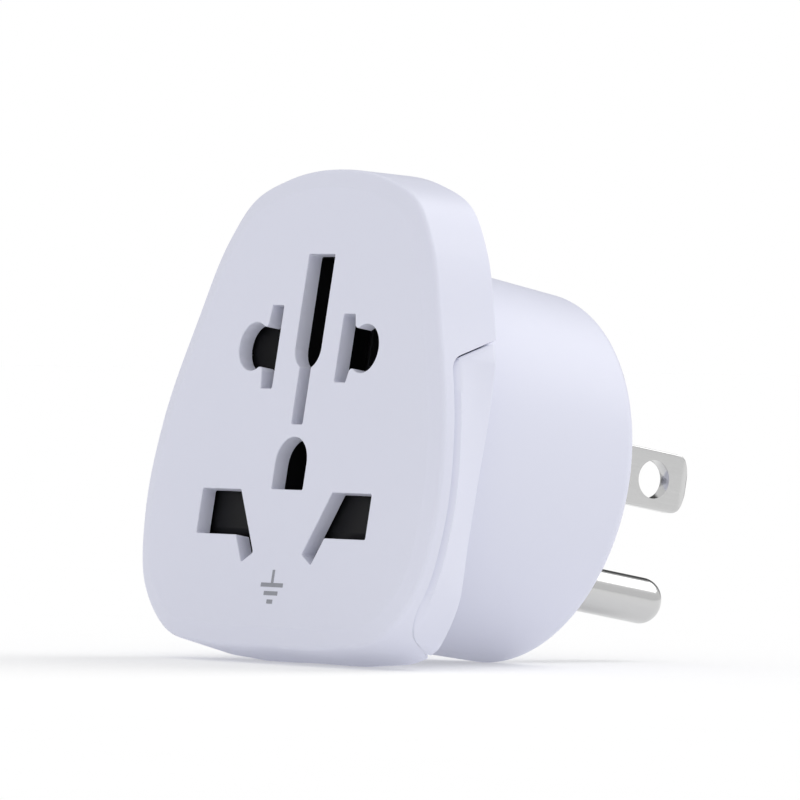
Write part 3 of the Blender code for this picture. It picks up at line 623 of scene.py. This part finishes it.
def make_cover():
    """Outer skin, face with its openings, and inner skin, as one closed body."""
    mesh = bmesh.new()
    profile = [(COVER_WALL, FACE_THICK), (COVER_WALL, FLANGE_REAR)]
    profile += quarter((REAR_EDGE, FLANGE_REAR - REAR_EDGE), REAR_EDGE, 90, 3)
    foot, brow = (0.0, BORDER_DROP), (FACE_BORDER, 0.0)
    profile += rounded_corner((0.0, BORDER_DROP + 1), foot, brow, BORDER_ROUND)
    profile += rounded_corner(foot, brow, (FACE_BORDER + 1, 0.0), BORDER_ROUND / 2)
    profile.append((FACE_BORDER + 1.0, 0.0))
    loops = [add_loop(mesh, outline(inset, depth), depth) for inset, depth in profile]
    for first, second in zip(loops, loops[1:]):
        bridge(mesh, first, second)
    front_loops = []
    back_loops = []
    for points in openings():
        edge = [(HOLE_EDGE + SUPPORT, 0.0)]
        for i in range(4):
            turn = math.radians(90) * i / 3
            edge.append((HOLE_EDGE * (1 - math.sin(turn)), HOLE_EDGE * (1 - math.cos(turn))))
        edge.append((0.0, FACE_THICK))
        rows = [add_loop(mesh, offset(points, margin), depth) for margin, depth in edge]
        for first, second in zip(rows, rows[1:]):
            bridge(mesh, first, second)
        front_loops.append(rows[0])
        back_loops.append(rows[-1])
    fill_between(mesh, loops[-1], front_loops)
    fill_between(mesh, loops[0], back_loops)
    cover = finish_mesh("front_cover_shell", mesh)
    bosses = bmesh.new()
    for centre in screw_places():
        profile = [(BOSS_R, FACE_THICK - 0.5), (BOSS_R, BOSS_REAR),
                   (SCREW_HOLE_R, BOSS_REAR), (SCREW_HOLE_R, BOSS_BORE_FRONT)]
        turned(profile, centre, 32, bosses)
    combine(cover, bosses, "UNION")
    for side in SIDES:
        combine(cover, window_cutter(side), "DIFFERENCE")
    soften(cover, 0.1)
    return cover


def screw_places():
    """Centres of the four housing screws."""
    return [(side * x, z) for x, z in SCREW_PLACES for side in SIDES]


# ---------------------------------------------------------------- grip windows and wings

def grip_hollow(z):
    """How far the finger grip is hollowed at a height."""
    t = (GRIP_TOP - z) / (GRIP_TOP - GRIP_BOTTOM)
    return GRIP_HOLLOW * math.sin(math.pi * t**GRIP_SKEW)**GRIP_FULLNESS if 0 < t < 1 else 0.0


def wing_inner(z):
    """Inset of the wing's inner face at a height."""
    return max(2.3, WING_INSET + grip_hollow(z) + WING_WALL)


def window_edge(gaps, end_depth):
    """Height and depth along the window's front edge, moved into it by the gaps at its top and its bottom."""
    corners = []
    ends = ((WINDOW_TOP, WINDOW_TOP_KNEE), (WINDOW_BOTTOM, WINDOW_BOTTOM_KNEE))
    for (end, knee), gap in zip(ends, gaps):
        slope = (end - knee) / (FLANGE_REAR - WINDOW_FRONT)
        lean = math.copysign(math.hypot(1, slope), slope)
        last = end - gap * lean - slope * (FLANGE_REAR - end_depth)
        corners.append(((last, end_depth), (knee - gap * (lean - slope), WINDOW_FRONT + gap)))
    (top, top_knee), (bottom, bottom_knee) = corners
    upper = rounded_corner(top, top_knee, bottom_knee, WINDOW_ROUNDS[0])
    lower = rounded_corner(top_knee, bottom_knee, bottom, WINDOW_ROUNDS[1], 10)
    middle = []
    for i in range(1, WING_ROWS):
        t = i / WING_ROWS
        middle.append(tuple(Vector(upper[-1]).lerp(Vector(lower[0]), t)))
    return [top, *upper, *middle, *lower, bottom]


def strip(side, edge, section_at):
    """A body along a window's edge, with a section of (inset, depth) at each of its heights."""
    rings = []
    for z, front in edge:
        ring = []
        for inset, depth in section_at(z, front):
            x, height = side_point(side, z, inset, depth)
            ring.append((x, depth, height))
        rings.append(ring)
    return loft(rings)


def window_cutter(side):
    """The body that opens the window in the cover's side wall."""
    rear = FLANGE_REAR + 1.0
    return strip(side, window_edge((0.0, 0.0), FLANGE_REAR),
                 lambda z, front: ((-2.0, front), (PLATE_INSET, front), (PLATE_INSET, rear), (-2.0, rear)))


def wing_section(z, front):
    """Lip, ridge and hollow of the wing at a height; lip and inset run out towards the lower end."""
    fade = min(1.0, max(0.0, (z - GRIP_BOTTOM) / WING_LIP_FADE))
    inset = WING_INSET * fade
    ridge = max(front + 0.2, GRIP_RIDGE)
    hollow = inset + grip_hollow(z)
    inner = wing_inner(z)
    edge = rounded_corner((inset, ridge), (hollow, FLANGE_REAR), (inner, FLANGE_REAR), GRIP_EDGE, 4)
    slope = []
    for i in range(8):
        slope.append(tuple(Vector((inset, ridge)).lerp(Vector(edge[0]), i / 8)))
    return ((inset + WING_LIP * fade, front), *slope, *edge, (inner, FLANGE_REAR), (inner, front))


def plate_inset(z):
    """Inset of the flange plate's edge at a height, clear of the grips' hollows."""
    return max(PLATE_INSET, WING_INSET + grip_hollow(z) + 0.4)


# ---------------------------------------------------------------- rear housing

def make_housing():
    """Flange plate, grip wings and round body, bored and hollowed."""
    rings = []
    for depth in (PLATE_FRONT, FLANGE_REAR):
        rings.append([(x, depth, z) for x, z in outline(plate_inset, depth)])
    housing = finish_mesh("rear_housing_shell", loft(rings))
    for side in SIDES:
        combine(housing, strip(side, window_edge(WINDOW_GAPS, WING_END_DEPTH), wing_section), "UNION")
    axis = (0.0, AXIS_Z)
    profile = [(BODY_R, FLANGE_REAR - 0.9)]
    for i in range(11):
        turn = math.radians(90) * i / 10
        profile.append((BODY_REAR_R - BODY_FILLET * (1 - math.cos(turn)),
                        REAR_FACE - BODY_FILLET * (1 - math.sin(turn))))
    profile.append((BODY_REAR_R - BODY_FILLET - SUPPORT, REAR_FACE))
    combine(housing, turned(profile, axis, 192), "UNION")
    pads = bmesh.new()
    bores = bmesh.new()
    holes = bmesh.new()
    for centre in screw_places():
        turned(((PAD_R, PAD_FRONT), (PAD_R, PLATE_FRONT + 0.6)), centre, 32, pads)
        turned(((COUNTERBORE_R, COUNTERBORE_FLOOR), (COUNTERBORE_R, FLANGE_REAR + 1)), centre, 40, bores)
        turned(((SCREW_HOLE_R, PAD_FRONT - 1), (SCREW_HOLE_R, FLANGE_REAR + 1)), centre, 24, holes)
    combine(housing, pads, "UNION")
    hollow = turned(((BORE_R, PLATE_FRONT - 1), (BORE_REAR_R, END_WALL)), axis, 96)
    for cutter in (hollow, bores, holes):
        combine(housing, cutter, "DIFFERENCE")
    hole_r = PIN_R + PIN_FIT
    pins = turned(((hole_r, END_WALL - 1), (hole_r, REAR_FACE + 1)), (0.0, PIN_Z), 64)
    for side in SIDES:
        half = BLADE_THICK / 2 + PIN_FIT
        x = side * BLADE_X
        box((x - half, x + half), (END_WALL - 1, REAR_FACE + 1),
            (BLADE_Z - BLADE_HEIGHT / 2 - PIN_FIT, BLADE_Z + BLADE_HEIGHT / 2 + PIN_FIT), pins)
    combine(housing, pins, "DIFFERENCE")
    soften(housing, 0.12)
    return housing


# ---------------------------------------------------------------- plug pins

def blade_section(bevel, drop):
    """Rounded rectangle of a blade's cross-section, thinner by a bevel and lower by a drop."""
    half_x = BLADE_THICK / 2 - bevel
    half_z = BLADE_HEIGHT / 2 - drop
    corners = ((-half_x, -half_z), (half_x, -half_z), (half_x, half_z), (-half_x, half_z))
    return rounded(corners, 0.44 * half_x / BLADE_THICK, 3)


def make_blade(side, name):
    """A flat blade with round tip corners and coined sides, and its foot inside the body."""
    bevel_start = BLADE_TIP - 2 * BLADE_TIP_BEVEL
    rings = [(depth, blade_section(0.0, 0.0)) for depth in (BLADE_FOOT[0] + 0.1, bevel_start - 1.5)]
    for i in range(13):
        turn = math.radians(90) * i / 12
        depth = BLADE_TIP - BLADE_TIP_ROUND[0] * (1 - math.sin(turn))
        bevel = max(0.0, (depth - bevel_start) / 2)
        rings.append((depth, blade_section(bevel, BLADE_TIP_ROUND[1] * (1 - math.cos(turn)))))
    x = side * BLADE_X
    body = loft([[(x + u, depth, v + BLADE_Z) for u, v in section] for depth, section in rings])
    blade = finish_mesh(name + "_shell", body)
    half_foot = BLADE_HEIGHT / 2 - 0.5
    foot = box(sorted((side * (BLADE_X - BLADE_THICK / 2 + 0.1), side * BLADE_FOOT_REACH)), BLADE_FOOT,
               (BLADE_Z - half_foot, BLADE_Z + half_foot))
    combine(blade, foot, "UNION")
    rivet_hole = turned(((RIVET_HOLE_R, BLADE_FOOT[0] - 1), (RIVET_HOLE_R, BLADE_FOOT[1] + 1)),
                        (side * RIVET_X, BLADE_Z), 24)
    combine(blade, rivet_hole, "DIFFERENCE")
    rim = circle((REAR_FACE + BLADE_HOLE_FROM_FACE, BLADE_Z), BLADE_HOLE_R, 64)
    hole = loft([[(at, depth, z) for depth, z in rim] for at in (x - 2, x + 2)])
    combine(blade, hole, "DIFFERENCE")
    soften(blade, 0.09, angle=50, sharp=40)
    return blade


def make_ground_pin():
    """Round pin with a domed end, a collar behind the end wall and a stem through the earth contact."""
    front, rear = PIN_COLLAR
    profile = [(PIN_STEM_R, PIN_STEM_FRONT), (PIN_STEM_R, front), (PIN_COLLAR_R, front),
               (PIN_COLLAR_R, rear), (PIN_R, rear)]
    dome = PIN_R * PIN_DOME
    for i in range(15):
        turn = math.radians(84) * i / 14
        profile.append((PIN_R * math.cos(turn), PIN_TIP - dome + dome * math.sin(turn)))
    pin = finish_mesh("ground_pin_shell", turned(profile, (0.0, PIN_Z), 96))
    soften(pin, 0.05, angle=50, sharp=40)
    return pin


# ---------------------------------------------------------------- screws and springs

def make_screw(number, centre):
    """Pan-head screw with a cross recess, seated in its counterbore."""
    seat = COUNTERBORE_FLOOR + 0.05
    end = seat + SCREW_HEAD
    shoulder = end - SCREW_HEAD_ROUND
    profile = [(SCREW_POINT_R, SCREW_TIP), (SCREW_SHANK_R, SCREW_TIP + SCREW_SHANK_R - SCREW_POINT_R),
               (SCREW_SHANK_R, seat), (SCREW_HEAD_R, seat), (SCREW_HEAD_R, shoulder)]
    last = math.radians(75)
    for i in range(1, 7):
        turn = last * i / 6
        rise = SCREW_HEAD_ROUND * math.sin(turn) / math.sin(last)
        profile.append((SCREW_HEAD_R * math.cos(turn), shoulder + rise))
    screw = finish_mesh("housing_screw_%d_head" % number, turned(profile, centre, 48))
    near, far = RECESS_HALF, RECESS_REACH
    cross = []
    for u, v in ((1, 1), (1, -1), (-1, -1), (-1, 1)):
        arm = [(u * near, v * far), (u * near, v * near), (u * far, v * near)]
        cross += arm if u == v else arm[::-1]
    recess = prism([(centre[0] + x, centre[1] + z) for x, z in cross], end - RECESS_DEPTH, end + 1)
    combine(screw, recess, "DIFFERENCE")
    soften(screw, 0.04, segments=1, angle=50, sharp=40)
    return screw


def make_spring(name, start, direction, length):
    """A compression spring of round wire between two points."""
    along = Vector(direction)
    across = Vector((0.0, 1.0, 0.0))
    third = along.cross(across)
    sides = 10
    steps = SPRING_TURNS * 24
    travel = length - 2 * SPRING_WIRE
    rings = []
    for i in range(steps + 1):
        turn = 2 * math.pi * SPRING_TURNS * i / steps
        spoke = across * math.cos(turn) + third * math.sin(turn)
        centre = Vector(start) + along * (SPRING_WIRE + travel * i / steps) + spoke * SPRING_R
        ring = []
        for j in range(sides):
            angle = 2 * math.pi * j / sides
            ring.append(centre + (spoke * math.cos(angle) + along * math.sin(angle)) * SPRING_WIRE)
        rings.append(ring)
    spring = finish_mesh(name + "_coil", loft(rings))
    spring.data.shade_smooth()
    return spring


# ---------------------------------------------------------------- printed mark

def make_mark():
    """The general sign for earth, printed on the face: a stem over three bars, each shorter than the last."""
    bars = bmesh.new()
    face = -MARK_RAISE
    half = MARK_LINE / 2
    box((-half, half), (face, MARK_ROOT), (MARK_Z + MARK_STEM_FOOT, MARK_Z + MARK_HALF), bars)
    for rise, part in MARK_BARS:
        z = MARK_Z + rise
        reach = MARK_HALF * part
        box((-reach, reach), (face, MARK_ROOT), (z - half, z + half), bars)
    return finish_mesh("earth_mark", bars)


# ---------------------------------------------------------------- camera, floor and light

def make_camera():
    """A long lens from the right front, a little below the adapter."""
    data = bpy.data.cameras.new("camera")
    camera = bpy.data.objects.new("camera", data)
    bpy.context.scene.collection.objects.link(camera)
    back = towards(CAMERA_AZIMUTH, CAMERA_ELEVATION)
    camera.location = (Vector(CAMERA_AIM) + back * CAMERA_DISTANCE) * MM
    camera.rotation_mode = "QUATERNION"
    aim = (-back).to_track_quat("-Z", "Y")
    camera.rotation_quaternion = aim @ Quaternion((0, 0, 1), math.radians(CAMERA_ROLL))
    data.sensor_width = 36.0
    data.lens = CAMERA_LENS
    data.clip_start = 0.01
    data.clip_end = 20.0
    bpy.context.scene.camera = camera


def floor_slope():
    """Slope of the floor under the flange's rear edge and the body's rear rim, and its place."""
    flange = (FLANGE_REAR, -min(z for x, z in OUTLINE) + FLARE)
    rim_radius = BODY_REAR_R - BODY_FILLET
    slope = 0.0
    for i in range(90):
        turn = math.radians(i)
        depth = REAR_FACE - BODY_FILLET + BODY_FILLET * math.sin(turn)
        below = rim_radius + BODY_FILLET * math.cos(turn) - AXIS_Z
        steepness = (flange[1] - below) / (depth - flange[0])
        slope = steepness if i == 0 else min(slope, steepness)
    return math.atan(slope), (flange[0], -flange[1])


def make_floor(surface):
    """A large pale floor. The adapter leans on two edges, so in its own frame the floor rises to the rear."""
    slope, (depth, z) = floor_slope()
    mesh = bpy.data.meshes.new("floor")
    corners = [(x * FLOOR_REACH, y * FLOOR_REACH, 0.0) for x, y in ((-1, -1), (1, -1), (1, 1), (-1, 1))]
    mesh.from_pydata(corners, [], [(0, 1, 2, 3)])
    floor = bpy.data.objects.new("floor", mesh)
    floor.location = place(0.0, depth, z)
    floor.rotation_euler = (slope, 0.0, 0.0)
    bpy.context.scene.collection.objects.link(floor)
    mesh.materials.append(surface)


def towards(bearing, height):
    """Direction of a bearing (0 is the adapter's front, 90 its right side) and a height, in degrees."""
    a, e = math.radians(bearing), math.radians(height)
    return Vector((math.sin(a) * math.cos(e), -math.cos(a) * math.cos(e), math.sin(e)))


def add_sun(name, bearing, height, strength, width):
    """A wide soft light from a direction."""
    data = bpy.data.lights.new(name, "SUN")
    data.energy = strength
    data.angle = math.radians(width)
    light = bpy.data.objects.new(name, data)
    light.rotation_mode = "QUATERNION"
    light.rotation_quaternion = towards(bearing, height).to_track_quat("Z", "Y")
    bpy.context.scene.collection.objects.link(light)


def floor_paint():
    """Matt white floor with a little light of its own, like a lit acrylic table."""
    made, shader = shader_of("white floor")
    grain = object_noise(made, 60.0, 2.0)
    made.node_tree.links.new(tint(made, grain, (0.72, 0.72, 0.72), (0.71, 0.71, 0.71)),
                             shader.inputs["Base Color"])
    made.node_tree.links.new(remap(made, grain, 0.88, 0.95), shader.inputs["Roughness"])
    shader.inputs["Specular IOR Level"].default_value = 0.0
    shader.inputs["Emission Color"].default_value = (1.0, 1.0, 1.0, 1.0)
    shader.inputs["Emission Strength"].default_value = FLOOR_GLOW
    return made


def smooth_range(nodes, starts, ends):
    """A map range that eases from the first pair of values to the second."""
    node = nodes.new("ShaderNodeMapRange")
    node.interpolation_type = "SMOOTHSTEP"
    for key, value in zip(("From Min", "From Max", "To Min", "To Max"), (*starts, *ends)):
        node.inputs[key].default_value = value
    return node


def make_world():
    """White behind the adapter, and a soft pale surround with one dark flag, which lights it."""
    world = bpy.data.worlds.new("studio")
    bpy.context.scene.world = world
    world.use_nodes = True
    nodes, links = world.node_tree.nodes, world.node_tree.links
    coordinates = nodes.new("ShaderNodeTexCoord")
    axes = nodes.new("ShaderNodeSeparateXYZ")
    ramp = smooth_range(nodes, WORLD_RISE, (WORLD_LOW, WORLD_HIGH))
    facing = nodes.new("ShaderNodeVectorMath")
    facing.operation = "DOT_PRODUCT"
    facing.inputs[1].default_value = towards(*FLAG)
    inner, outer = (math.cos(math.radians(angle)) for angle in FLAG_REACH)
    flag = smooth_range(nodes, (outer, inner), (1.0, FLAG_DIM))
    dimmed = nodes.new("ShaderNodeMath")
    dimmed.operation = "MULTIPLY"
    rays = nodes.new("ShaderNodeLightPath")
    seen = nodes.new("ShaderNodeMix")
    seen.inputs[3].default_value = 1.0
    links.new(coordinates.outputs["Generated"], axes.inputs[0])
    links.new(coordinates.outputs["Generated"], facing.inputs[0])
    links.new(axes.outputs["Z"], ramp.inputs["Value"])
    links.new(facing.outputs["Value"], flag.inputs["Value"])
    links.new(ramp.outputs["Result"], dimmed.inputs[0])
    links.new(flag.outputs["Result"], dimmed.inputs[1])
    links.new(rays.outputs["Is Camera Ray"], seen.inputs[0])
    links.new(dimmed.outputs["Value"], seen.inputs[2])
    background = nodes["Background"]
    background.inputs["Color"].default_value = (1.0, 1.0, 1.0, 1.0)
    links.new(seen.outputs[0], background.inputs["Strength"])


# ---------------------------------------------------------------- assembly

def show(piece, surface, body, node):
    """Gives a piece its finish and its body, and lets it stand for a CAD node."""
    piece.data.materials.clear()
    piece.data.materials.append(surface)
    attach(piece, body)
    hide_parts(node)


def finish_node(name, surface):
    """Gives a CAD node that is shown as it is its finish."""
    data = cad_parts[name].data
    data.materials.clear()
    data.materials.append(surface)


def main():
    shell = moulded_plastic("shell plastic", (0.725, 0.738, 0.85), (0.715, 0.728, 0.84), 0.46, 0.004, 0.08)
    black = moulded_plastic("black plastic", (0.006, 0.006, 0.007), (0.008, 0.008, 0.009), 0.38, 0.003)
    black.node_tree.nodes["Principled BSDF"].inputs["Specular IOR Level"].default_value = 0.12
    insulator = moulded_plastic("insulator plastic", (0.74, 0.73, 0.70), (0.70, 0.69, 0.66), 0.5, 0.006)
    nickel = drawn_metal("nickel plate", (0.63, 0.63, 0.63), (0.60, 0.60, 0.60), 0.17, 0.0008,
                         (6.0, 0.25, 6.0))
    brass = drawn_metal("pressed brass", (0.80, 0.62, 0.31), (0.74, 0.56, 0.27), 0.3, 0.001, (1.0, 1.0, 0.2))
    steel = drawn_metal("zinc steel", (0.64, 0.64, 0.65), (0.56, 0.56, 0.58), 0.3, 0.001, (1.0, 1.0, 1.0))
    wire = drawn_metal("spring wire", (0.47, 0.47, 0.49), (0.40, 0.40, 0.42), 0.28, 0.0005, (1.0, 1.0, 1.0))
    ink = printed_ink("grey ink", (0.29, 0.30, 0.34))

    show(make_cover(), shell, "housing", "front_cover")
    show(make_housing(), shell, "housing", "rear_housing")
    show(make_ground_pin(), nickel, "housing", "ground_pin")
    for side, name in ((LEFT, "neutral"), (RIGHT, "live")):
        show(make_blade(side, name + "_blade"), nickel, "housing", name + "_blade")
        spring = make_spring(name + "_shutter_spring",
                             (side * UPPER_SPRING_ENDS[0], SPRING_DEPTH, UPPER_LINE), (side, 0.0, 0.0),
                             UPPER_SPRING_ENDS[1] - UPPER_SPRING_ENDS[0])
        show(spring, wire, "housing", name + "_shutter_spring")
        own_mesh(spring)
        finish_node(name + "_contact", brass)
        finish_node(name + "_rivet", steel)
        finish_node(name + "_shutter", black)
    for side, name in ((LEFT, "left"), (RIGHT, "right")):
        spring = make_spring("lower_shutter_spring_" + name,
                             (side * LOWER_SPRING_X, SPRING_DEPTH, LOWER_SPRING_ENDS[0]), (0.0, 0.0, 1.0),
                             LOWER_SPRING_ENDS[1] - LOWER_SPRING_ENDS[0])
        show(spring, wire, "housing", "lower_shutter_spring_" + name)
        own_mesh(spring)
        finish_node("lower_shutter_" + name, black)
        finish_node("retainer_screw_" + name, steel)
    for number, centre in enumerate(screw_places(), 1):
        show(make_screw(number, centre), steel, "housing", "housing_screw_%d" % number)
    finish_node("contact_carrier", black)
    finish_node("earth_contact", brass)
    finish_node("earth_washer", steel)
    finish_node("blade_retainer", insulator)

    mark = make_mark()
    mark.data.materials.append(ink)
    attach(mark, "housing")

    make_floor(floor_paint())
    make_camera()
    for sun in SUNS:
        add_sun(*sun)
    make_world()
    bpy.context.scene.view_settings.view_transform = "Standard"


main()
